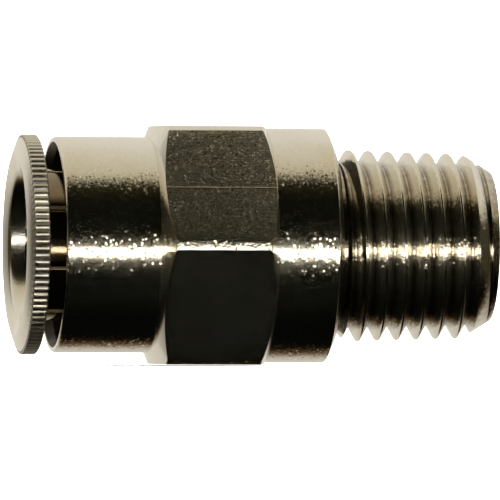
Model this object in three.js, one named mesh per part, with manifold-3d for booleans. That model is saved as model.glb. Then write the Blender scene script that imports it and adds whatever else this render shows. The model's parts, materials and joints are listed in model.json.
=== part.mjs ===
// Push-to-connect male connector: a 3/8 in tube socket on one side and a 1/4-18 taper pipe thread on the other.
// Millimetres. The fitting lies along X, tube end towards -X, with a spanner flat up and a spanner flat down.
// Stations along the axis are measured from the body's mouth; the whole is then centred on the origin.
import * as THREE from 'three';
import { mergeVertices } from 'three/addons/utils/BufferGeometryUtils.js';
import Module from 'manifold-3d';

const wasm = await Module();
wasm.setup();

// ---- driving dimensions ----
const inch = 25.4;
const tubeRadius = 3 / 8 * inch / 2;
const threadPitch = inch / 18;
const threadTaper = 1 / 32;            // radius lost per mm towards the thread's small end
const threadCrestTip = 6.54;           // crest radius at the thread's end face
const threadDepth = 0.98;
const crestOnTop = 24.14;              // station of a crest on the upper side
const hexAcrossFlats = 17;
const hexCornerRadius = 9.63;          // the hexagon's corners are turned down to this

const mouthRadius = 7.35;
const sleeveRadius = 7.71;
const shoulderRadius = 8.36;
const hexFront = 6.77;
const hexBack = 15.16;
const shoulderEnd = 19.5;
const shoulderChamferEnd = 20;
const threadEnd = 31.5;

const retainerSeat = 5.5;
const retainerBoreRadius = 7;
const chamberRadius = 6.5;             // bore that takes the collet's fingers, the support ring and the seal
const chamberEnd = 12.3;
const socketRadius = tubeRadius + 0.06;
const tubeStop = 17.3;
const flowBoreRadius = 3.4;

const collarFront = -2.72;
const collarRimFront = -2.26;
const collarBack = -1.16;
const collarRadius = 7.84;
const funnelRadius = 6.51;             // edge of the funnel that leads the tube in
const knurlCount = 96;
const knurlDepth = 0.1;

const fingerCount = 8;
const fingerSlot = 0.4;
const firstFingerAngle = 5.9;          // degrees above -Y
const fingerInnerRadius = tubeRadius + 0.12;
const neckRadius = 5.4;
const fingerTip = 8.3;

const segments = 48;

// ---- materials ----
const nickel = new THREE.MeshStandardMaterial({ color: 0xb9b2a0, roughness: 0.22, metalness: 1 });
const brass = new THREE.MeshStandardMaterial({ color: 0xc2a15a, roughness: 0.35, metalness: 1 });
const rubber = new THREE.MeshStandardMaterial({ color: 0x161616, roughness: 0.7, metalness: 0 });

// ---- from geometry to solid and back ----
function solidFrom(geometry) {
  const bare = new THREE.BufferGeometry().setAttribute('position', geometry.getAttribute('position'));
  if (geometry.index) bare.setIndex(geometry.index);
  const merged = mergeVertices(bare, 1e-4);
  return new wasm.Manifold(new wasm.Mesh({
    numProp: 3,
    vertProperties: merged.getAttribute('position').array,
    triVerts: new Uint32Array(merged.index.array),
  }));
}

function geometryFrom(solid) {
  const { numProp, vertProperties, triVerts } = solid.getMesh();
  const positions = new Float32Array(triVerts.length * 3);
  triVerts.forEach((vertex, i) => {
    positions.set(vertProperties.subarray(vertex * numProp, vertex * numProp + 3), i * 3);
  });
  const geometry = new THREE.BufferGeometry().setAttribute('position', new THREE.BufferAttribute(positions, 3));
  geometry.computeVertexNormals();
  return geometry;
}

function named(name, geometry, material) {
  const mesh = new THREE.Mesh(geometry, material);
  mesh.name = name;
  return mesh;
}

// A ring turned about X from a closed outline of [station, radius] points: along the outside from front to
// back, then along the inside from back to front.
function turned(outline) {
  const points = [...outline, outline[0]].map(([station, radius]) => new THREE.Vector2(radius, station));
  return new THREE.LatheGeometry(points, segments).rotateZ(-Math.PI / 2);
}

// A bar along X whose cross-section is a closed polygon of [y, z] points.
function bar(section, from, to) {
  const shape = new THREE.Shape(section.map(([y, z]) => new THREE.Vector2(-z, y)));
  const geometry = new THREE.ExtrudeGeometry(shape, { depth: to - from, bevelEnabled: false });
  return geometry.rotateY(Math.PI / 2).translate(from, 0, 0);
}

function ringPoints(count, radiusAt) {
  return Array.from({ length: count }, (_, i) => {
    const angle = i * 2 * Math.PI / count;
    return [radiusAt(i) * Math.cos(angle), radiusAt(i) * Math.sin(angle)];
  });
}

// ---- body: front sleeve, hexagon, shoulder and taper thread, turned from one bar ----
const crestRadiusAt = (station) => threadCrestTip + (threadEnd - station) * threadTaper;

// A right-hand screw as one closed skin: at each step round the axis stands a row of root and crest points,
// and the last row joins the first one turn further on.
function screw(from, to) {
  const steps = 24;
  const halfWidths = [-0.45, -0.05, 0.05, 0.45];   // of a pitch: a 60 degree V with small flats
  const turns = Math.ceil((to - from) / threadPitch) + 2;
  const phase = Math.ceil((crestOnTop - from) / threadPitch);
  const firstCrest = crestOnTop - (phase + 1) * threadPitch;
  const rowLength = halfWidths.length * turns;
  const points = [];
  for (let step = 0; step < steps; step += 1) {
    const turn = step / steps;
    const angle = Math.PI / 2 + turn * 2 * Math.PI;
    for (let i = 0; i < rowLength; i += 1) {
      const corner = i % halfWidths.length;
      const crest = firstCrest + (Math.floor(i / halfWidths.length) + turn) * threadPitch;
      const station = crest + halfWidths[corner] * threadPitch;
      const onCrest = corner === 1 || corner === 2;
      const radius = crestRadiusAt(station) - (onCrest ? 0 : threadDepth);
      points.push([station, radius * Math.cos(angle), radius * Math.sin(angle)]);
    }
  }
  const pitchPoints = halfWidths.length;
  const at = (step, i) => (step < steps ? step * rowLength + i : i + pitchPoints);
  const indices = [];
  for (let step = 0; step < steps; step += 1) {
    const last = rowLength - 1 - (step === steps - 1 ? pitchPoints : 0);
    for (let i = 0; i < last; i += 1) {
      indices.push(at(step, i), at(step + 1, i + 1), at(step, i + 1));
      indices.push(at(step, i), at(step + 1, i), at(step + 1, i + 1));
    }
  }
  // The two helical ends are closed by fans from a point on the axis.
  const front = points.push([firstCrest, 0, 0]) - 1;
  const back = points.push([firstCrest + turns * threadPitch, 0, 0]) - 1;
  for (let step = 0; step < steps; step += 1) {
    const last = rowLength - 1 - (step === steps - 1 ? pitchPoints : 0);
    indices.push(front, at(step + 1, 0), at(step, 0));
    indices.push(back, at(step, last), at(step + 1, last));
  }
  for (let i = 0; i < pitchPoints; i += 1) {
    indices.push(front, at(0, i), at(0, i + 1));
    indices.push(back, at(steps - 1, rowLength - 1 - i), at(steps - 1, rowLength - 2 - i));
  }
  const geometry = new THREE.BufferGeometry();
  geometry.setAttribute('position', new THREE.Float32BufferAttribute(points.flat(), 3));
  geometry.setIndex(indices);
  return geometry;
}

function threadedStud() {
  const start = shoulderEnd - 0.6;
  const grooveEnd = 20.45;
  const grooveRadius = 5.85;
  const tipRadius = 5.35;
  const tipChamfer = 2.1;
  const fullThread = grooveEnd + 0.6;
  const envelope = solidFrom(turned([
    [start, grooveRadius], [grooveEnd, grooveRadius], [fullThread, crestRadiusAt(fullThread) + 0.05],
    [threadEnd - tipChamfer, crestRadiusAt(threadEnd - tipChamfer) + 0.05], [threadEnd, tipRadius],
    [threadEnd, flowBoreRadius], [start, flowBoreRadius],
  ]));
  return solidFrom(screw(start, threadEnd)).intersect(envelope);
}

function hexagon() {
  const corner = hexAcrossFlats / Math.sqrt(3);
  const prism = solidFrom(bar(ringPoints(6, () => corner), hexFront, hexBack));
  const frontChamfer = 0.82;
  const backChamfer = 0.75;
  const turnedEnds = solidFrom(turned([
    [hexFront, sleeveRadius], [hexFront + frontChamfer, hexCornerRadius],
    [hexBack - backChamfer, hexCornerRadius], [hexBack, shoulderRadius],
    [hexBack, chamberRadius + 0.4], [hexFront, chamberRadius + 0.4],
  ]));
  return prism.intersect(turnedEnds);
}

function fittingBody() {
  const shell = solidFrom(turned([
    [0, sleeveRadius - 0.15], [0.15, sleeveRadius], [hexFront + 0.3, sleeveRadius],
    [hexBack - 0.3, shoulderRadius], [shoulderEnd, shoulderRadius], [shoulderChamferEnd, 7.2],
    [shoulderChamferEnd, flowBoreRadius], [tubeStop, flowBoreRadius],
    [tubeStop, socketRadius], [chamberEnd + 0.5, socketRadius], [chamberEnd, socketRadius + 0.3],
    [chamberEnd, chamberRadius], [retainerSeat, chamberRadius], [retainerSeat, retainerBoreRadius],
    [0.6, retainerBoreRadius], [0, mouthRadius],
  ]));
  return named('fitting_body', geometryFrom(shell.add(hexagon()).add(threadedStud())), nickel);
}

// ---- retainer ring: pressed into the mouth, its inner cone squeezes the collet's fingers on to the tube ----
function retainerRing() {
  const front = 1.7;
  const back = retainerSeat - 0.05;
  const outer = retainerBoreRadius - 0.03;
  const land = 5.72;
  const coneLength = 0.6;
  return named('retainer_ring', turned([
    [front, outer - 0.3], [front + 0.3, outer], [back, outer],
    [back, land + coneLength], [back - coneLength, land], [front + 0.3, land], [front, land + 0.3],
  ]), brass);
}

// ---- collet: the release collar is its knurled flange, and eight spring fingers run back from it ----
function releaseCollar() {
  const rimChamfer = 0.12;
  const funnel = [                        // from the bore out to the edge, as an arc of three chords
    [collarBack - 0.12, fingerInnerRadius], [collarFront + 0.67, fingerInnerRadius + 0.29],
    [collarFront + 0.32, fingerInnerRadius + 0.54], [collarFront, funnelRadius - 0.1],
  ];
  const blank = solidFrom(turned([
    [collarFront, funnelRadius], [collarRimFront, collarRadius], [collarBack - rimChamfer, collarRadius],
    [collarBack, collarRadius - rimChamfer], [collarBack, fingerInnerRadius], ...funnel,
  ]));
  const rim = ringPoints(2 * knurlCount, (i) => collarRadius - (i % 2) * knurlDepth);
  const knurl = solidFrom(bar(rim, collarFront - 0.5, collarBack + 0.5));
  return named('release_collar', geometryFrom(blank.intersect(knurl)), nickel);
}

// One finger with its middle towards +Y: a wedge cut from a turned sleeve, with a cam outside and a tooth inside.
function fingerGeometry() {
  const root = collarBack + 0.04;
  const camRadius = 6;
  const camFront = 5.2;
  const camBack = 7.9;
  const toothRadius = tubeRadius - 0.14;
  const toothStation = fingerTip - 0.35;
  const sleeve = solidFrom(turned([
    [root, neckRadius], [camFront, neckRadius], [camFront + camRadius - neckRadius, camRadius],
    [camBack, camRadius], [fingerTip, camRadius - 0.4], [fingerTip, toothRadius + 0.2],
    [toothStation, toothRadius], [toothStation - 0.35, fingerInnerRadius], [root, fingerInnerRadius],
  ]));
  const halfAngle = Math.PI / fingerCount;
  const apex = fingerSlot / 2 / Math.sin(halfAngle);
  const reach = 9;
  const wedge = solidFrom(bar([
    [apex, 0], [apex + reach * Math.cos(halfAngle), reach * Math.sin(halfAngle)],
    [apex + reach * Math.cos(halfAngle), -reach * Math.sin(halfAngle)],
  ], root - 1, fingerTip + 1));
  return geometryFrom(sleeve.intersect(wedge));
}

function colletFingers() {
  const geometry = fingerGeometry();
  return Array.from({ length: fingerCount }, (_, i) => {
    const finger = named(`collet_finger_${i + 1}`, geometry, nickel);
    finger.rotation.x = Math.PI - THREE.MathUtils.degToRad(firstFingerAngle + i * 360 / fingerCount);
    return finger;
  });
}

// ---- support ring: a loose washer between the fingers' chamber and the seal ----
const supportRingFront = 9.6;
const supportRingBack = 10.3;

function supportRing() {
  const outer = chamberRadius - 0.08;
  const inner = tubeRadius + 0.2;
  return named('support_ring', turned([
    [supportRingFront, outer], [supportRingBack, outer], [supportRingBack, inner],
    [supportRingFront + 0.25, inner], [supportRingFront, inner + 0.25],
  ]), brass);
}

// ---- seal ring: an O-ring that grips the tube ----
function tubeSeal() {
  const section = 0.89;
  const ring = new THREE.TorusGeometry(chamberRadius - 0.05 - section, section, 12, 40);
  return named('tube_seal', ring.rotateY(Math.PI / 2).translate(supportRingBack + 0.06 + section, 0, 0), rubber);
}

const fitting = new THREE.Group();
fitting.position.x = -(collarFront + threadEnd) / 2;
fitting.add(
  fittingBody(), retainerRing(), releaseCollar(), ...colletFingers(), supportRing(), tubeSeal(),
);

export default fitting;
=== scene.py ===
import json
import math

import bmesh
import bpy
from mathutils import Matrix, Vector

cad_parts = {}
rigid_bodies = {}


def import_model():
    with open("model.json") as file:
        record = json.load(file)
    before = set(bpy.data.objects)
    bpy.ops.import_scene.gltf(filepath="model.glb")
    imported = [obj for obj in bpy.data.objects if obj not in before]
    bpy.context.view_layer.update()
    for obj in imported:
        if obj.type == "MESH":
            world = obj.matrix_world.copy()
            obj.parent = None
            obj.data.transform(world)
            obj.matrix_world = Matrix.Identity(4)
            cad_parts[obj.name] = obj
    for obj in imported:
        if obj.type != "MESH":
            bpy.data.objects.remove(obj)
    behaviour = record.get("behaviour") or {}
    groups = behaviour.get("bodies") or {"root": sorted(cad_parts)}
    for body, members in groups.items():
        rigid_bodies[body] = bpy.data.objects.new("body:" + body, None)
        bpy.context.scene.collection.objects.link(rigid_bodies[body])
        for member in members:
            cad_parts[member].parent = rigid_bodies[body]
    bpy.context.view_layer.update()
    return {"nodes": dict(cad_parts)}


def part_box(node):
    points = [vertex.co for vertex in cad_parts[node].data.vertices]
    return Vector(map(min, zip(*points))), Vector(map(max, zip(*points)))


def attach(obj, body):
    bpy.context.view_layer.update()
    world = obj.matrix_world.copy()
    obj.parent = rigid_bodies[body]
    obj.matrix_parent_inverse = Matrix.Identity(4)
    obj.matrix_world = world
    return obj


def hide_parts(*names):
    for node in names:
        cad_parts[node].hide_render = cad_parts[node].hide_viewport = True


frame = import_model()
print("frame loaded:", len(frame["nodes"]), "nodes")

mm = 0.001
bodyLow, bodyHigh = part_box("fitting_body")
retainerLow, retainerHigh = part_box("retainer_ring")
supportLow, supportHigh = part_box("support_ring")
sealLow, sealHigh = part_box("tube_seal")
# every station along the axis is counted in mm from the body's mouth, and every radius from the axis
mouthX = bodyLow.x
threadEnd = (bodyHigh.x - mouthX) / mm
threadPitch = 25.4 / 18
mergeWithin = 0.0008 * mm


def deselectAll():
    # an operator acts on all that is selected, so each piece starts with nothing selected, in Object mode
    if bpy.context.object and bpy.context.object.mode != "OBJECT":
        bpy.ops.object.mode_set(mode="OBJECT")
    bpy.ops.object.select_all(action="DESELECT")


def pick(piece):
    deselectAll()
    piece.select_set(True)
    bpy.context.view_layer.objects.active = piece


def editAll():
    bpy.ops.object.mode_set(mode="EDIT")
    bpy.ops.mesh.select_mode(type="VERT")
    bpy.ops.mesh.select_all(action="SELECT")


def selectWhere(test):
    # selects the vertices of the piece in Edit mode whose place passes the test
    mesh = bmesh.from_edit_mesh(bpy.context.object.data)
    for vertex in mesh.verts:
        vertex.select = test(vertex.co)
    mesh.select_flush_mode()
    bmesh.update_edit_mesh(bpy.context.object.data)


def cleanUp():
    bpy.ops.mesh.select_all(action="SELECT")
    bpy.ops.mesh.remove_doubles(threshold=mergeWithin)
    bpy.ops.mesh.normals_make_consistent(inside=False)
    bpy.ops.object.mode_set(mode="OBJECT")


def smooth(piece, degrees=32):
    pick(piece)
    bpy.ops.object.shade_smooth_by_angle(angle=math.radians(degrees))
    for face in piece.data.polygons:
        # faces square to the axis stay truly flat, right up to their rounded edges
        if abs(face.normal.x) > 0.9999:
            face.use_smooth = False


def applyModifier(piece, modifier):
    pick(piece)
    bpy.ops.object.modifier_apply(modifier=modifier.name)


def keepCommon(piece, other):
    # leaves only what the piece shares with the other, which is then thrown away
    cut = piece.modifiers.new("shared", "BOOLEAN")
    cut.operation = "INTERSECT"
    cut.solver = "EXACT"
    cut.object = other
    applyModifier(piece, cut)
    bpy.data.objects.remove(other)


def place(station, radius):
    return Vector((mouthX + station * mm, -radius * mm, 0))


def rounded(outline, steps=4):
    # outline is (station, radius, rounding) for each corner; each rounded corner becomes a short curve
    points = []
    count = len(outline)
    for i, (station, radius, rounding) in enumerate(outline):
        corner = Vector((station, radius))
        if not rounding:
            points.append(corner)
            continue
        before = Vector(outline[i - 1][:2]) - corner
        after = Vector(outline[(i + 1) % count][:2]) - corner
        start = corner + before.normalized() * min(rounding, before.length * 0.48)
        end = corner + after.normalized() * min(rounding, after.length * 0.48)
        for k in range(steps + 1):
            t = k / steps
            points.append(start * (1 - t) ** 2 + corner * 2 * t * (1 - t) + end * t ** 2)
    return points


def drawLine(name, points):
    # a plane shrunk to one vertex, then drawn out from point to point
    deselectAll()
    bpy.ops.mesh.primitive_plane_add(size=mm)
    piece = bpy.context.object
    piece.name = piece.data.name = name
    editAll()
    bpy.ops.mesh.merge(type="CENTER")
    bpy.ops.transform.translate(value=place(*points[0]))
    for here, there in zip(points, points[1:]):
        step = place(*there) - place(*here)
        bpy.ops.mesh.extrude_region_move(TRANSFORM_OT_translate={"value": step})
    return piece


def closeLine(points):
    ends = [place(*points[0]), place(*points[-1])]
    selectWhere(lambda co: min((co - end).length for end in ends) < 0.0005 * mm)
    bpy.ops.mesh.edge_face_add()
    bpy.ops.mesh.select_all(action="SELECT")


def turnPiece(name, outline, steps=256):
    # a closed outline spun once round the axis
    points = rounded(outline)
    piece = drawLine(name, points)
    closeLine(points)
    bpy.ops.mesh.spin(steps=steps, angle=2 * math.pi, center=(0, 0, 0), axis=(1, 0, 0))
    cleanUp()
    return piece


def finishPiece(piece, body, nodes, materials):
    piece.data.materials.clear()
    for material in materials:
        piece.data.materials.append(material)
    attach(piece, body)
    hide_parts(*nodes)
    print("made", piece.name, len(piece.data.polygons), "faces")


def newMaterial(name):
    material = bpy.data.materials.new(name)
    material.use_nodes = True
    tree = material.node_tree
    return material, tree, tree.nodes["Principled BSDF"]


def addNode(tree, kind, settings=None, **sockets):
    node = tree.nodes.new(kind)
    for key, value in (settings or {}).items():
        setattr(node, key, value)
    for key, value in sockets.items():
        socket = node.inputs[int(key[1:])] if key[0] == "_" else node.inputs[key]
        if isinstance(value, bpy.types.NodeSocket):
            tree.links.new(value, socket)
        else:
            socket.default_value = value
    return node


def calc(tree, operation, first, second=0.0, third=0.0):
    settings = {"operation": operation}
    return addNode(tree, "ShaderNodeMath", settings, _0=first, _1=second, _2=third).outputs[0]


def calcVector(tree, operation, first, second=(0.0, 0.0, 0.0), third=(0.0, 0.0, 0.0)):
    settings = {"operation": operation}
    return addNode(tree, "ShaderNodeVectorMath", settings, _0=first, _1=second, _2=third).outputs[0]


def ramp(tree, value, low, high):
    # 0 below low, 1 above high, eased between
    settings = {"interpolation_type": "SMOOTHSTEP"}
    node = addNode(tree, "ShaderNodeMapRange", settings, _0=value, _1=low, _2=high, _3=0.0, _4=1.0)
    return node.outputs[0]


def mixColour(tree, factor, first, second):
    node = tree.nodes.new("ShaderNodeMix")
    node.data_type = "RGBA"
    for index, value in ((0, factor), (6, first), (7, second)):
        if isinstance(value, bpy.types.NodeSocket):
            tree.links.new(value, node.inputs[index])
        elif index:
            node.inputs[index].default_value = (*value, 1)
        else:
            node.inputs[index].default_value = value
    return node.outputs[2]


def noise(tree, vector, size, detail=2.0, rough=0.5):
    # size is the width of the pattern's patches in mm
    return addNode(tree, "ShaderNodeTexNoise", Vector=vector, Scale=1 / (size * mm), Detail=detail,
                   Roughness=rough).outputs["Fac"]


def facetNormal(tree, vector, size, tilt):
    # small cells, each leaning its own way: most of them hardly at all, a few by the whole tilt
    node = tree.nodes.new("ShaderNodeTexVoronoi")
    tree.links.new(vector, node.inputs["Vector"])
    node.inputs["Scale"].default_value = 1 / (size * mm)
    lean = calcVector(tree, "MULTIPLY_ADD", node.outputs["Color"], (2.0, 2.0, 2.0), (-1.0, -1.0, -1.0))
    # the ninth power keeps the lean's sign and leaves only the few steep cells
    square = calcVector(tree, "MULTIPLY", lean, lean)
    fourth = calcVector(tree, "MULTIPLY", square, square)
    eighth = calcVector(tree, "MULTIPLY", fourth, fourth)
    ninth = calcVector(tree, "MULTIPLY", eighth, lean)
    facing = addNode(tree, "ShaderNodeNewGeometry").outputs["Normal"]
    turned = calcVector(tree, "MULTIPLY_ADD", ninth, (tilt, tilt, tilt), facing)
    return calcVector(tree, "NORMALIZE", turned)


def toolLines(tree, where):
    # stretches a pattern round the axis until it reads as the lathe tool's lines
    return addNode(tree, "ShaderNodeMapping", _0=where, _3=(1.0, 0.02, 0.02)).outputs[0]


def addBump(tree, shader, height, depth, strength=1.0):
    # depth is in mm
    bump = addNode(tree, "ShaderNodeBump", Strength=strength, Distance=depth * mm, Height=height)
    tree.links.new(bump.outputs[0], shader.inputs["Normal"])
    return bump


def axisRadius(tree, vector):
    # distance from the fitting's axis in mm, and the place along it in mm
    split = addNode(tree, "ShaderNodeSeparateXYZ", _0=vector)
    y2 = calc(tree, "POWER", split.outputs[1], 2.0)
    z2 = calc(tree, "POWER", split.outputs[2], 2.0)
    radius = calc(tree, "MULTIPLY", calc(tree, "SQRT", calc(tree, "ADD", y2, z2)), 1 / mm)
    return radius, calc(tree, "MULTIPLY", split.outputs[0], 1 / mm)


nickelLook = {
    "plate": (0.80, 0.77, 0.70),
    "warmPlate": (0.77, 0.72, 0.61),
    # a dark warm colour: used for the blotches, the darker roots, and the painted shade on the collet
    # fingers
    "grimeAndShade": (0.20, 0.15, 0.09),
    "facetSize": 0.12,
    "sleeveRoughness": 0.14,
    "hexagonRoughness": 0.25,
    "vertexRoughness": 0.1,
    "threadRoughness": 0.14,
    "collarRoughness": 0.18,
    "knurlRoughness": 0.34,
    "fingerRoughness": 0.08,
}


def nickel(name, roughness, turning=0.0, grain=0.0, grainSize=0.14, peel=0.0, facets=0.0,
           mottle=0.0, drawn=0.0, rings=0.0, darkBelowRadius=None, drawnLine=None, stainAndShade=0.0):
    # bright plate: turning is the depth of the tool lines, grain of the fine grit, peel of the waviness
    material, tree, shader = newMaterial(name)
    where = addNode(tree, "ShaderNodeTexCoord").outputs["Object"]
    radius, along = axisRadius(tree, where)
    clouds = noise(tree, where, 3.0, 3)
    specks = noise(tree, where, grainSize, 2, 0.6)
    colour = mixColour(tree, ramp(tree, clouds, 0.35, 0.75), nickelLook["plate"], nickelLook["warmPlate"])
    # the plate is darkened towards the dark colour: a light warm stain on the knurl, painted shade on the
    # collet fingers
    if stainAndShade:
        stainAndShadeMix = calc(tree, "MULTIPLY_ADD", clouds, 0.3, stainAndShade - 0.15)
        colour = mixColour(tree, stainAndShadeMix, colour, nickelLook["grimeAndShade"])
    if mottle:
        blotches = ramp(tree, noise(tree, where, grainSize, 2, 0.7), 0.42, 0.62)
        colour = mixColour(tree, calc(tree, "MULTIPLY", blotches, mottle), colour, nickelLook["grimeAndShade"])
    # darker towards the roots: faces below the given radius are mixed towards the dark colour, in patches
    if darkBelowRadius:
        # the taper's own radius is added back, so that the roots all along the thread are found alike
        offset, low, high = darkBelowRadius
        level = calc(tree, "ADD", radius, calc(tree, "MULTIPLY", along, offset))
        lowDarkening = calc(tree, "SUBTRACT", 1.0, ramp(tree, level, low, high))
        patches = ramp(tree, noise(tree, where, 0.5, 3), 0.3, 0.62)
        lowDarkening = calc(tree, "MULTIPLY", lowDarkening, calc(tree, "MULTIPLY_ADD", patches, 0.3, 0.4))
        colour = mixColour(tree, lowDarkening, colour, nickelLook["grimeAndShade"])
    height = calc(tree, "MULTIPLY", noise(tree, toolLines(tree, where), 0.07, 3, 0.7), turning)
    if drawn:
        length = addNode(tree, "ShaderNodeMapping", _0=where, _3=(0.03, 1.0, 1.0)).outputs[0]
        height = calc(tree, "MULTIPLY_ADD", noise(tree, length, 0.1, 2), drawn, height)
    if rings:
        # the facing tool's rings, which only an end face shows
        settings = {"noise_dimensions": "1D"}
        faced = addNode(tree, "ShaderNodeTexNoise", settings, W=radius, Scale=9.0, Detail=3.0)
        height = calc(tree, "MULTIPLY_ADD", faced.outputs["Fac"], rings, height)
    height = calc(tree, "MULTIPLY_ADD", specks, grain, height)
    height = calc(tree, "MULTIPLY_ADD", noise(tree, where, 0.55, 2), peel, height)
    if drawnLine:
        # one fine line along the flat, where the bar was drawn through its die
        level, width = drawnLine
        split = addNode(tree, "ShaderNodeSeparateXYZ", _0=where)
        away = calc(tree, "ABSOLUTE", calc(tree, "MULTIPLY_ADD", split.outputs[2], 1 / mm, -level))
        line = calc(tree, "SUBTRACT", 1.0, ramp(tree, away, 0.0, width))
        front = calc(tree, "MULTIPLY", line, calc(tree, "LESS_THAN", split.outputs[1], 0.0))
        height = calc(tree, "MULTIPLY_ADD", front, 0.6, height)
    tree.links.new(colour, shader.inputs["Base Color"])
    shader.inputs["Metallic"].default_value = 1.0
    spread = calc(tree, "MULTIPLY_ADD", clouds, 0.03, roughness - 0.015)
    tree.links.new(spread, shader.inputs["Roughness"])
    bump = addBump(tree, shader, height, 0.01)
    if facets:
        tree.links.new(facetNormal(tree, where, nickelLook["facetSize"], facets), bump.inputs["Normal"])
    return material


def cutBrass():
    # where the slots were sawn the plate is missing and the brass is matt
    material, tree, shader = newMaterial("cutBrass")
    where = addNode(tree, "ShaderNodeTexCoord").outputs["Object"]
    colour = mixColour(tree, noise(tree, where, 0.5, 2), (0.55, 0.47, 0.30), (0.38, 0.31, 0.18))
    tree.links.new(colour, shader.inputs["Base Color"])
    shader.inputs["Metallic"].default_value = 1.0
    shader.inputs["Roughness"].default_value = 0.5
    addBump(tree, shader, noise(tree, where, 0.08, 2), 0.01, 0.5)
    return material


def turnedBrass():
    material, tree, shader = newMaterial("turnedBrass")
    where = addNode(tree, "ShaderNodeTexCoord").outputs["Object"]
    streaks = noise(tree, toolLines(tree, where), 0.09, 3, 0.7)
    clouds = noise(tree, where, 1.5, 3)
    colour = mixColour(tree, ramp(tree, clouds, 0.35, 0.7), (0.76, 0.58, 0.28), (0.62, 0.44, 0.20))
    tree.links.new(colour, shader.inputs["Base Color"])
    shader.inputs["Metallic"].default_value = 1.0
    tree.links.new(calc(tree, "MULTIPLY_ADD", streaks, 0.2, 0.2), shader.inputs["Roughness"])
    addBump(tree, shader, streaks, 0.006, 0.6)
    return material


def shadedBoreMetal():
    # inside the mouth the plate is painted near black: painted shade for the hollow of the mouth and bores
    material, tree, shader = newMaterial("shadedBoreMetal")
    where = addNode(tree, "ShaderNodeTexCoord").outputs["Object"]
    clouds = noise(tree, where, 1.2, 3)
    colour = mixColour(tree, ramp(tree, clouds, 0.35, 0.7), (0.06, 0.048, 0.032), (0.03, 0.024, 0.014))
    tree.links.new(colour, shader.inputs["Base Color"])
    shader.inputs["Metallic"].default_value = 1.0
    tree.links.new(calc(tree, "MULTIPLY_ADD", clouds, 0.2, 0.3), shader.inputs["Roughness"])
    addBump(tree, shader, noise(tree, toolLines(tree, where), 0.09, 3), 0.006, 0.6)
    return material


def sealRubber():
    material, tree, shader = newMaterial("sealRubber")
    where = addNode(tree, "ShaderNodeTexCoord").outputs["Object"]
    bloom = noise(tree, where, 0.8, 4)
    colour = mixColour(tree, ramp(tree, bloom, 0.45, 0.8), (0.014, 0.014, 0.015), (0.045, 0.045, 0.043))
    tree.links.new(colour, shader.inputs["Base Color"])
    tree.links.new(calc(tree, "MULTIPLY_ADD", bloom, 0.3, 0.35), shader.inputs["Roughness"])
    addBump(tree, shader, noise(tree, where, 0.08), 0.004, 0.4)
    return material


sleeveNickel = nickel("sleeveNickel", nickelLook["sleeveRoughness"], turning=0.1, grain=0.25, facets=0.13)
hexagonNickel = nickel("hexagonNickel", nickelLook["hexagonRoughness"], grain=0.5, grainSize=0.2, peel=0.3,
                       facets=0.11, mottle=0.16, drawn=0.4, drawnLine=(4.1, 0.05))
chamferNickel = nickel("chamferNickel", nickelLook["sleeveRoughness"], turning=0.15, grain=0.25)
endNickel = nickel("endNickel", nickelLook["sleeveRoughness"], grain=0.25, rings=0.8)
vertexNickel = nickel("vertexNickel", nickelLook["vertexRoughness"], grain=1.2, facets=0.16)
threadNickel = nickel("threadNickel", nickelLook["threadRoughness"], turning=0.12, grain=0.6, facets=0.12,
                      darkBelowRadius=(1 / 32, 6.0, 6.6))
collarNickel = nickel("collarNickel", nickelLook["collarRoughness"], turning=0.1, grain=0.6, peel=0.2)
knurlNickel = nickel("knurlNickel", nickelLook["knurlRoughness"], grain=0.8, darkBelowRadius=(0.0, 7.70, 7.81),
                     stainAndShade=0.18)
# the fingers' plate is darkened almost to the dark colour all over: painted shade for the neck in the shade
# of the collar and body
fingerNickel = nickel("fingerNickel", nickelLook["fingerRoughness"], turning=0.15, grain=0.5, stainAndShade=0.95)
brass = turnedBrass()
rubber = sealRubber()
# near-black metal for the inner walls: painted shade
boreShade = shadedBoreMetal()
slotWall = cutBrass()
print("materials made")


# fitting body: a turned blank, its hexagon and its taper thread
blank = {
    "sleeveRadius": 7.71, "lipRadius": 7.35, "lipDepth": 0.6, "mouthChamfer": 0.15, "shoulderRadius": 8.36,
    "shoulderEnd": 19.5, "chamferEnd": 20.0, "chamferRadius": 7.2, "edge": 0.09,
    "retainerBore": 7.0, "retainerSeat": 5.5, "chamberRadius": 6.5, "chamberEnd": 12.3,
    "socketRadius": 4.82, "tubeStop": 17.3, "flowBore": 3.4, "steps": 320,
}
hexagonSize = {
    "acrossFlats": 17.0, "cornerRadius": 9.63, "front": 6.77, "back": 15.16,
    "frontChamfer": 0.82, "backChamfer": 0.75, "edge": 0.04,
}
threadSize = {
    "crestRadius": 6.54, "depth": 0.98, "flat": 0.05, "edge": 0.05, "taper": 1 / 32, "crestOnTop": 24.14,
    "stepsPerTurn": 128, "grooveRadius": 5.85, "grooveEnd": 20.45, "runIn": 0.6,
    "tipRadius": 5.35, "tipChamfer": 2.1,
}


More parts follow.
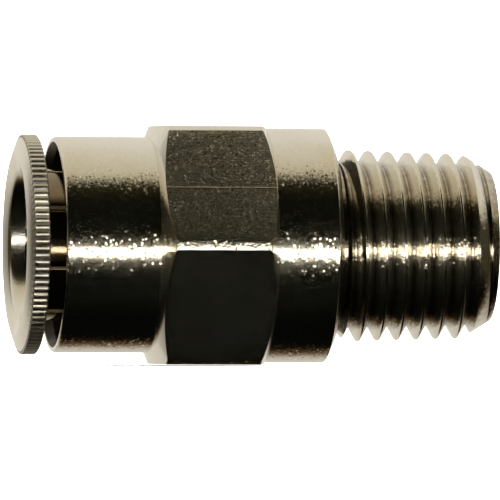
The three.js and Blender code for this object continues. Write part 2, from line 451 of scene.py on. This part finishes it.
def makeBlank():
    under = hexagonSize["acrossFlats"] / 2 - 0.4
    front, back = hexagonSize["front"] + 0.4, hexagonSize["back"] - 0.4
    return turnPiece("fittingBody", [
        (0, blank["sleeveRadius"] - blank["mouthChamfer"] * 0.8, 0.05),
        (blank["mouthChamfer"], blank["sleeveRadius"], 0.1),
        (front, blank["sleeveRadius"], 0), (front, under, 0),
        (back, under, 0), (back, blank["shoulderRadius"], 0),
        (blank["shoulderEnd"], blank["shoulderRadius"], blank["edge"]),
        (blank["chamferEnd"], blank["chamferRadius"], blank["edge"]),
        (blank["chamferEnd"], blank["flowBore"], 0),
        (blank["tubeStop"], blank["flowBore"], 0.1), (blank["tubeStop"], blank["socketRadius"], 0.1),
        (blank["chamberEnd"] + 0.5, blank["socketRadius"], 0.1),
        (blank["chamberEnd"], blank["socketRadius"] + 0.3, 0.05),
        (blank["chamberEnd"], blank["chamberRadius"], 0.1),
        (blank["retainerSeat"], blank["chamberRadius"], 0.05),
        (blank["retainerSeat"], blank["retainerBore"], 0.1),
        (blank["lipDepth"], blank["retainerBore"], 0.1), (0, blank["lipRadius"], 0.04),
    ], steps=blank["steps"])


def makeHexagon():
    length = hexagonSize["back"] - hexagonSize["front"]
    middle = place((hexagonSize["front"] + hexagonSize["back"]) / 2, 0)
    deselectAll()
    bpy.ops.mesh.primitive_cylinder_add(vertices=6, radius=hexagonSize["acrossFlats"] / math.sqrt(3) * mm,
                                        depth=length * mm, location=middle, rotation=(0, math.pi / 2, 0))
    hexagon = bpy.context.object
    hexagon.name = hexagon.data.name = "hexagon"
    bpy.ops.object.transform_apply(location=True, rotation=True, scale=True)
    inner = hexagonSize["acrossFlats"] / 2 - 0.9
    turnedEnds = turnPiece("turnedEnds", [
        (hexagonSize["front"] - 0.01, blank["sleeveRadius"] - 0.02, 0),
        (hexagonSize["front"] + hexagonSize["frontChamfer"], hexagonSize["cornerRadius"], 0.12),
        (hexagonSize["back"] - hexagonSize["backChamfer"], hexagonSize["cornerRadius"], 0.12),
        (hexagonSize["back"] + 0.01, blank["shoulderRadius"] - 0.02, 0),
        (hexagonSize["back"] - 0.3, inner, 0), (hexagonSize["front"] + 0.3, inner, 0),
    ], steps=360)
    keepCommon(hexagon, turnedEnds)
    soften = hexagon.modifiers.new("soften", "BEVEL")
    soften.width = hexagonSize["edge"] * mm
    soften.segments = 3
    soften.limit_method = "ANGLE"
    soften.angle_limit = math.radians(12)
    soften.harden_normals = False
    applyModifier(hexagon, soften)
    return hexagon


def makeThread():
    start = blank["shoulderEnd"] + 0.1
    crest = threadSize["crestRadius"] + (threadEnd - threadSize["crestOnTop"]) * threadSize["taper"]
    root = crest - threadSize["depth"]
    flat, halfPitch, edge = threadSize["flat"] * threadPitch, threadPitch / 2, threadSize["edge"]
    ridge = rounded([
        (-halfPitch, root, 0), (-halfPitch + flat, root, edge), (-flat, crest, edge), (flat, crest, edge),
        (halfPitch - flat, root, edge), (halfPitch, root, 0),
    ], steps=3)
    turnsBefore = math.ceil((threadSize["crestOnTop"] - start) / threadPitch) + 1
    turns = turnsBefore + math.ceil((threadEnd - threadSize["crestOnTop"]) / threadPitch) + 1
    # the line is drawn on the -Y side, where a crest stands a quarter of a turn after the one on top
    firstCrest = threadSize["crestOnTop"] + threadPitch / 4 - turnsBefore * threadPitch
    thread = drawLine("thread", [(firstCrest + x, radius) for x, radius in ridge])
    bpy.ops.object.mode_set(mode="OBJECT")
    wind = thread.modifiers.new("wind", "SCREW")
    wind.axis = "X"
    wind.angle = 2 * math.pi
    wind.screw_offset = threadPitch * mm
    wind.iterations = turns
    wind.steps = wind.render_steps = threadSize["stepsPerTurn"]
    applyModifier(thread, wind)
    crestX = mouthX + threadSize["crestOnTop"] * mm
    for vertex in thread.data.vertices:
        narrowing = 1 - (vertex.co.x - crestX) * threadSize["taper"] / (crest * mm)
        vertex.co.y *= narrowing
        vertex.co.z *= narrowing
    editAll()
    bpy.ops.mesh.remove_doubles(threshold=mergeWithin)
    for station, side in ((start, -1), (threadEnd + 0.2, 1)):
        bpy.ops.mesh.select_all(action="SELECT")
        bpy.ops.mesh.bisect(plane_co=place(station, 0), plane_no=(1, 0, 0), use_fill=True,
                            clear_inner=side < 0, clear_outer=side > 0)
    # the flanks' twisted quads are split, so that the cut with the envelope meets only flat faces
    bpy.ops.mesh.select_all(action="SELECT")
    bpy.ops.mesh.quads_convert_to_tris(quad_method="BEAUTY")
    cleanUp()
    fullThread = threadSize["grooveEnd"] + threadSize["runIn"]
    chamferStart = threadEnd - threadSize["tipChamfer"]
    room = 0.05

    def crestAt(station):
        return threadSize["crestRadius"] + (threadEnd - station) * threadSize["taper"] + room

    envelope = turnPiece("envelope", [
        (start + 0.1, threadSize["grooveRadius"], 0),
        (threadSize["grooveEnd"], threadSize["grooveRadius"], 0),
        (fullThread, crestAt(fullThread), 0), (chamferStart, crestAt(chamferStart), 0),
        (threadEnd, threadSize["tipRadius"], 0.08), (threadEnd, blank["flowBore"] + 0.25, 0.05),
        (threadEnd - 0.25, blank["flowBore"], 0.05), (start + 0.1, blank["flowBore"], 0),
    ], steps=256)
    keepCommon(thread, envelope)
    editAll()
    bpy.ops.mesh.dissolve_degenerate(threshold=0.002 * mm)
    cleanUp()
    return thread


def paintBoreShade(piece, reach):
    # faces that look towards the axis, inside the given radius, get the near-black bore metal: painted shade
    # inside the bore
    piece.data.materials.append(boreShade)
    slot = len(piece.data.materials) - 1
    for face in piece.data.polygons:
        outward = face.center.y * face.normal.y + face.center.z * face.normal.z
        if math.hypot(face.center.y, face.center.z) < reach * mm and outward <= 0:
            face.material_index = slot


def paintHexagon(hexagon):
    # the chamfered ends are turned; the six corners are narrow strips, brighter than the drawn flats
    for material in (hexagonNickel, vertexNickel, chamferNickel):
        hexagon.data.materials.append(material)
    for face in hexagon.data.polygons:
        fromCorner = abs((math.degrees(math.atan2(face.normal.z, -face.normal.y)) + 30) % 60 - 30)
        if abs(face.normal.x) >= 0.3:
            face.material_index = 2
        else:
            face.material_index = 1 if fromCorner < 14 else 0


def paintThread(thread):
    # the end face is faced off square, and shows the tool's rings
    for material in (threadNickel, endNickel):
        thread.data.materials.append(material)
    for face in thread.data.polygons:
        face.material_index = 1 if face.normal.x > 0.95 else 0
    # the flow bore is painted near black: painted shade
    paintBoreShade(thread, blank["flowBore"] + 0.3)


def makeBody():
    body = makeBlank()
    body.data.materials.append(sleeveNickel)
    # the mouth's inner walls are painted near black: painted shade
    paintBoreShade(body, blank["lipRadius"] - 0.03)
    hexagon = makeHexagon()
    paintHexagon(hexagon)
    thread = makeThread()
    paintThread(thread)
    for piece, degrees in ((body, 32), (hexagon, 40), (thread, 38)):
        smooth(piece, degrees)
    pick(body)
    hexagon.select_set(True)
    thread.select_set(True)
    bpy.ops.object.join()
    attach(body, "body")
    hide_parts("fitting_body")
    print("made", body.name, len(body.data.polygons), "faces")


makeBody()


# release collar: a knurled flange with a funnel mouth
collar = {
    "rimRadius": 7.84, "rimFront": -2.26, "rimChamfer": 0.12, "back": -1.16, "front": -2.72,
    "funnelRadius": 6.51, "boreRadius": 4.88, "throatDepth": 0.34, "throatRadius": 5.4, "boreStart": -1.3,
    "ridges": 96, "ridgeSteps": 6, "groove": 0.09, "flank": 0.04,
}


def makeCollar():
    piece = turnPiece("releaseCollar", [
        (collar["front"], collar["funnelRadius"], 0.07),
        (collar["front"] + 0.2, collar["funnelRadius"] + 0.64, 0.2),
        (collar["rimFront"] - 0.07, collar["rimRadius"] - 0.22, 0),
        (collar["rimFront"], collar["rimRadius"], 0.05),
        (collar["back"] - collar["rimChamfer"], collar["rimRadius"], 0.04),
        (collar["back"], collar["rimRadius"] - collar["rimChamfer"] - 0.08, 0),
        (collar["back"], collar["boreRadius"] + 0.05, 0.03),
        (collar["back"] - 0.03, collar["boreRadius"], 0.02),
        (collar["boreStart"], collar["boreRadius"], 0.1),
        (collar["front"] + 0.7, collar["boreRadius"] + 0.27, 0.3),
        (collar["front"] + collar["throatDepth"], collar["throatRadius"], 0.2),
    ], steps=collar["ridges"] * collar["ridgeSteps"])
    pick(piece)
    bpy.ops.object.mode_set(mode="EDIT")
    bpy.ops.mesh.select_mode(type="VERT")
    rimFloor = (collar["rimRadius"] - 0.16) * mm
    for depthHere, turns in ((collar["groove"], (0,)), (collar["flank"], (1, collar["ridgeSteps"] - 1))):
        def inGroove(co):
            step = round(math.atan2(co.z, -co.y) / (2 * math.pi) * collar["ridges"] * collar["ridgeSteps"])
            return math.hypot(co.y, co.z) > rimFloor and step % collar["ridgeSteps"] in turns
        selectWhere(inGroove)
        shrink = 1 - depthHere / collar["rimRadius"]
        bpy.ops.transform.resize(value=(1, shrink, shrink), center_override=(0, 0, 0))
    cleanUp()
    smooth(piece, 34)
    finishPiece(piece, "collar", ["release_collar"], [collarNickel, knurlNickel])
    knurlFrom = (collar["rimRadius"] - 0.21) * mm
    for face in piece.data.polygons:
        face.material_index = 1 if math.hypot(face.center.y, face.center.z) > knurlFrom else 0


makeCollar()


# collet fingers: eight springs behind the collar, each with a cam outside and a tooth inside
finger = {
    "count": 8, "firstAngle": 5.9, "slot": 0.4, "outer": 5.4, "inner": 4.88, "root": -1.3,
    "tip": 8.3, "camRadius": 6.0, "camFront": 5.2, "camBack": 7.9, "tooth": 4.62, "toothStation": 7.95,
    "steps": 24,
}


def makeFingers():
    neckRadius = (finger["outer"] + finger["inner"]) / 2
    sweep = 2 * math.pi / finger["count"] - finger["slot"] / neckRadius
    outline = rounded([
        (finger["root"], finger["outer"], 0), (finger["camFront"], finger["outer"], 0.15),
        (finger["camFront"] + finger["camRadius"] - finger["outer"], finger["camRadius"], 0.12),
        (finger["camBack"], finger["camRadius"], 0.12),
        (finger["tip"], finger["camRadius"] - 0.4, 0.08), (finger["tip"], finger["tooth"] + 0.2, 0.05),
        (finger["toothStation"], finger["tooth"], 0.03),
        (finger["toothStation"] - 0.35, finger["inner"], 0.08),
        (finger["root"], finger["inner"], 0),
    ])
    first = drawLine("colletFinger1", outline)
    closeLine(outline)
    bpy.ops.mesh.edge_face_add()
    bpy.ops.mesh.spin(steps=finger["steps"], angle=sweep, center=(0, 0, 0), axis=(1, 0, 0))
    cleanUp()
    # the spin may run either way, so the finger is turned until its middle lies where it should
    middle = sum((v.co for v in first.data.vertices), Vector()) / len(first.data.vertices)
    lies = math.atan2(middle.z, -middle.y)
    for number in range(finger["count"]):
        piece = first if number == 0 else first.copy()
        if number:
            piece.data = first.data.copy()
            bpy.context.collection.objects.link(piece)
            piece.name = piece.data.name = f"colletFinger{number + 1}"
    for number in range(finger["count"]):
        piece = bpy.data.objects[f"colletFinger{number + 1}"]
        wanted = math.radians(finger["firstAngle"] + number * 360 / finger["count"])
        piece.rotation_euler.x = lies - wanted
        pick(piece)
        bpy.ops.object.transform_apply(location=True, rotation=True, scale=True)
        soften = piece.modifiers.new("soften", "BEVEL")
        soften.width = 0.03 * mm
        soften.segments = 2
        soften.limit_method = "ANGLE"
        soften.angle_limit = math.radians(60)
        applyModifier(piece, soften)
        smooth(piece, 40)
        name = f"finger_{number + 1}"
        finishPiece(piece, name, [f"collet_{name}"], [fingerNickel, slotWall])
        for face in piece.data.polygons:
            towards = math.hypot(face.center.y, face.center.z) * 0.5
            around = abs(face.center.y * face.normal.z - face.center.z * face.normal.y)
            face.material_index = 1 if around > towards else 0


makeFingers()


# retainer ring, support ring and seal, inside the mouth
retainer = {"outer": 6.97, "land": 5.72, "cone": 0.6, "edge": 0.3}
support = {"outer": 6.42, "inner": 4.96, "edge": 0.25}
seal = {"section": 0.89, "sides": 24, "steps": 96}


def stationOf(x):
    return (x - mouthX) / mm


def makeRetainer():
    front, back = stationOf(retainerLow.x), stationOf(retainerHigh.x)
    piece = turnPiece("retainerRing", [
        (front, retainer["outer"] - retainer["edge"], 0.08),
        (front + retainer["edge"], retainer["outer"], 0.08),
        (back, retainer["outer"], 0.05), (back, retainer["land"] + retainer["cone"], 0.04),
        (back - retainer["cone"], retainer["land"], 0.08),
        (front + retainer["edge"], retainer["land"], 0.08),
        (front, retainer["land"] + retainer["edge"], 0.08),
    ], steps=192)
    smooth(piece)
    finishPiece(piece, "body", ["retainer_ring"], [brass])


def makeSupport():
    front, back = stationOf(supportLow.x), stationOf(supportHigh.x)
    piece = turnPiece("supportRing", [
        (front, support["outer"], 0.06), (back, support["outer"], 0.06), (back, support["inner"], 0.06),
        (front + support["edge"], support["inner"], 0.05), (front, support["inner"] + support["edge"], 0.05),
    ], steps=192)
    smooth(piece)
    finishPiece(piece, "loose_ring", ["support_ring"], [brass])


def makeSeal():
    middle = (stationOf(sealLow.x) + stationOf(sealHigh.x)) / 2
    radius = sealHigh.z / mm - seal["section"]
    ring = []
    for k in range(seal["sides"]):
        angle = k / seal["sides"] * 2 * math.pi
        station = middle - seal["section"] * math.cos(angle)
        ring.append((station, radius + seal["section"] * math.sin(angle), 0))
    piece = turnPiece("tubeSeal", ring, steps=seal["steps"])
    smooth(piece, 60)
    finishPiece(piece, "body", ["tube_seal"], [rubber])


makeRetainer()
makeSupport()
makeSeal()


# floor, light and camera
studio = {
    "floorSize": 6.0, "floorColour": (0.9, 0.9, 0.89), "floorLight": 4.0,
    "overhead": (0.61, 0.545, 0.40), "behind": (0.80, 0.76, 0.67), "below": (0.56, 0.53, 0.47),
    "upperDark": (0.0040, 0.0044, 0.0028), "lowerDark": (0.0018, 0.0020, 0.0015),
    "olive": (0.022, 0.0198, 0.0072),
    "dim": (0.0048, 0.0054, 0.0038), "brown": (0.13, 0.075, 0.025), "sideDark": (0.045, 0.038, 0.021),
    "glow": (0.06, 0.053, 0.033), "lamp": (9.0, 8.6, 7.6),
}
view = {"azimuth": -8.6, "roll": -0.25, "distance": 1.25, "frameWidth": 35.7, "right": -0.13, "up": -0.33}


def makeFloor():
    deselectAll()
    bpy.ops.mesh.primitive_plane_add(size=studio["floorSize"], location=(0, 0, bodyLow.z - 0.0001))
    floor = bpy.context.object
    floor.name = "floor"
    material, tree, shader = newMaterial("paleFloor")
    shader.inputs["Base Color"].default_value = (*studio["floorColour"], 1)
    shader.inputs["Roughness"].default_value = 0.9
    shader.inputs["Specular IOR Level"].default_value = 0.0
    floor.data.materials.append(material)
    floor.visible_glossy = False


def makeLight():
    # the metal mirrors a studio that is white above and behind, dark in front, with a lamp by the camera
    world = bpy.data.worlds.new("studio")
    bpy.context.scene.world = world
    world.use_nodes = True
    world.cycles.sampling_method = "NONE"
    tree = world.node_tree
    background = tree.nodes["Background"]
    direction = addNode(tree, "ShaderNodeTexCoord").outputs["Generated"]
    split = addNode(tree, "ShaderNodeSeparateXYZ", _0=direction)
    toCamera = calc(tree, "MULTIPLY", split.outputs[1], -1.0)
    height = calc(tree, "ARCTAN2", split.outputs[2], toCamera)
    angle = calc(tree, "MULTIPLY_ADD", height, 1 / (2 * math.pi), 0.5)
    # stops by the angle above the camera's direction: -180 is 0, straight ahead of the camera is 0.5
    stops = [
        (-180, "behind"), (-146, "below"), (-134, "brown"), (-124, "lowerDark"), (-80, "lowerDark"),
        (-55, "dim"), (-27, "dim"), (-17, "glow"), (-12.5, "glow"), (-9.6, "lamp"), (-7.0, "lamp"),
        (-4, "glow"), (0, "glow"), (10, "upperDark"), (52, "upperDark"), (67, "olive"), (80, "overhead"),
        (130, "behind"), (180, "behind"),
    ]
    bands = addNode(tree, "ShaderNodeValToRGB", _0=angle)
    scale = bands.color_ramp
    while len(scale.elements) < len(stops):
        scale.elements.new(0.5)
    for element, (degrees, _) in zip(scale.elements, stops):
        element.position = degrees / 360 + 0.5
    for element, (_, name) in zip(scale.elements, stops):
        element.color = (*studio[name], 1)
    # level directions beside the camera are dark too, fading to the white behind the piece
    aside = calc(tree, "ARCTAN2", calc(tree, "ABSOLUTE", split.outputs[0]), toCamera)
    aside = calc(tree, "MULTIPLY", aside, 180 / math.pi)
    sideways = calc(tree, "SUBTRACT", ramp(tree, aside, 57, 66), ramp(tree, aside, 124, 156))
    steepness = ramp(tree, calc(tree, "ABSOLUTE", split.outputs[2]), 0.2, 0.48)
    sideways = calc(tree, "MULTIPLY", sideways, calc(tree, "SUBTRACT", 1.0, steepness))
    mirrored = mixColour(tree, sideways, bands.outputs[0], studio["sideDark"])
    rays = addNode(tree, "ShaderNodeLightPath")
    seen = mixColour(tree, rays.outputs["Is Glossy Ray"], (studio["floorLight"],) * 3, mirrored)
    tree.links.new(seen, background.inputs["Color"])
    background.inputs["Strength"].default_value = 1.0


def makeCamera():
    deselectAll()
    angle = math.radians(view["azimuth"])
    away = Vector((math.sin(angle), -math.cos(angle), 0))
    right = Vector((math.cos(angle), math.sin(angle), 0))
    target = right * view["right"] * mm + Vector((0, 0, view["up"] * mm))
    bpy.ops.object.camera_add(location=target + away * view["distance"])
    camera = bpy.context.object
    camera.rotation_euler = (math.pi / 2, math.radians(view["roll"]), angle)
    camera.rotation_mode = "XYZ"
    camera.data.lens = camera.data.sensor_width * view["distance"] / (view["frameWidth"] * mm)
    camera.data.clip_start, camera.data.clip_end = 0.01, 20
    bpy.context.scene.camera = camera


makeFloor()
makeLight()
makeCamera()
bpy.context.scene.view_settings.view_transform = "Standard"
print("stage set")
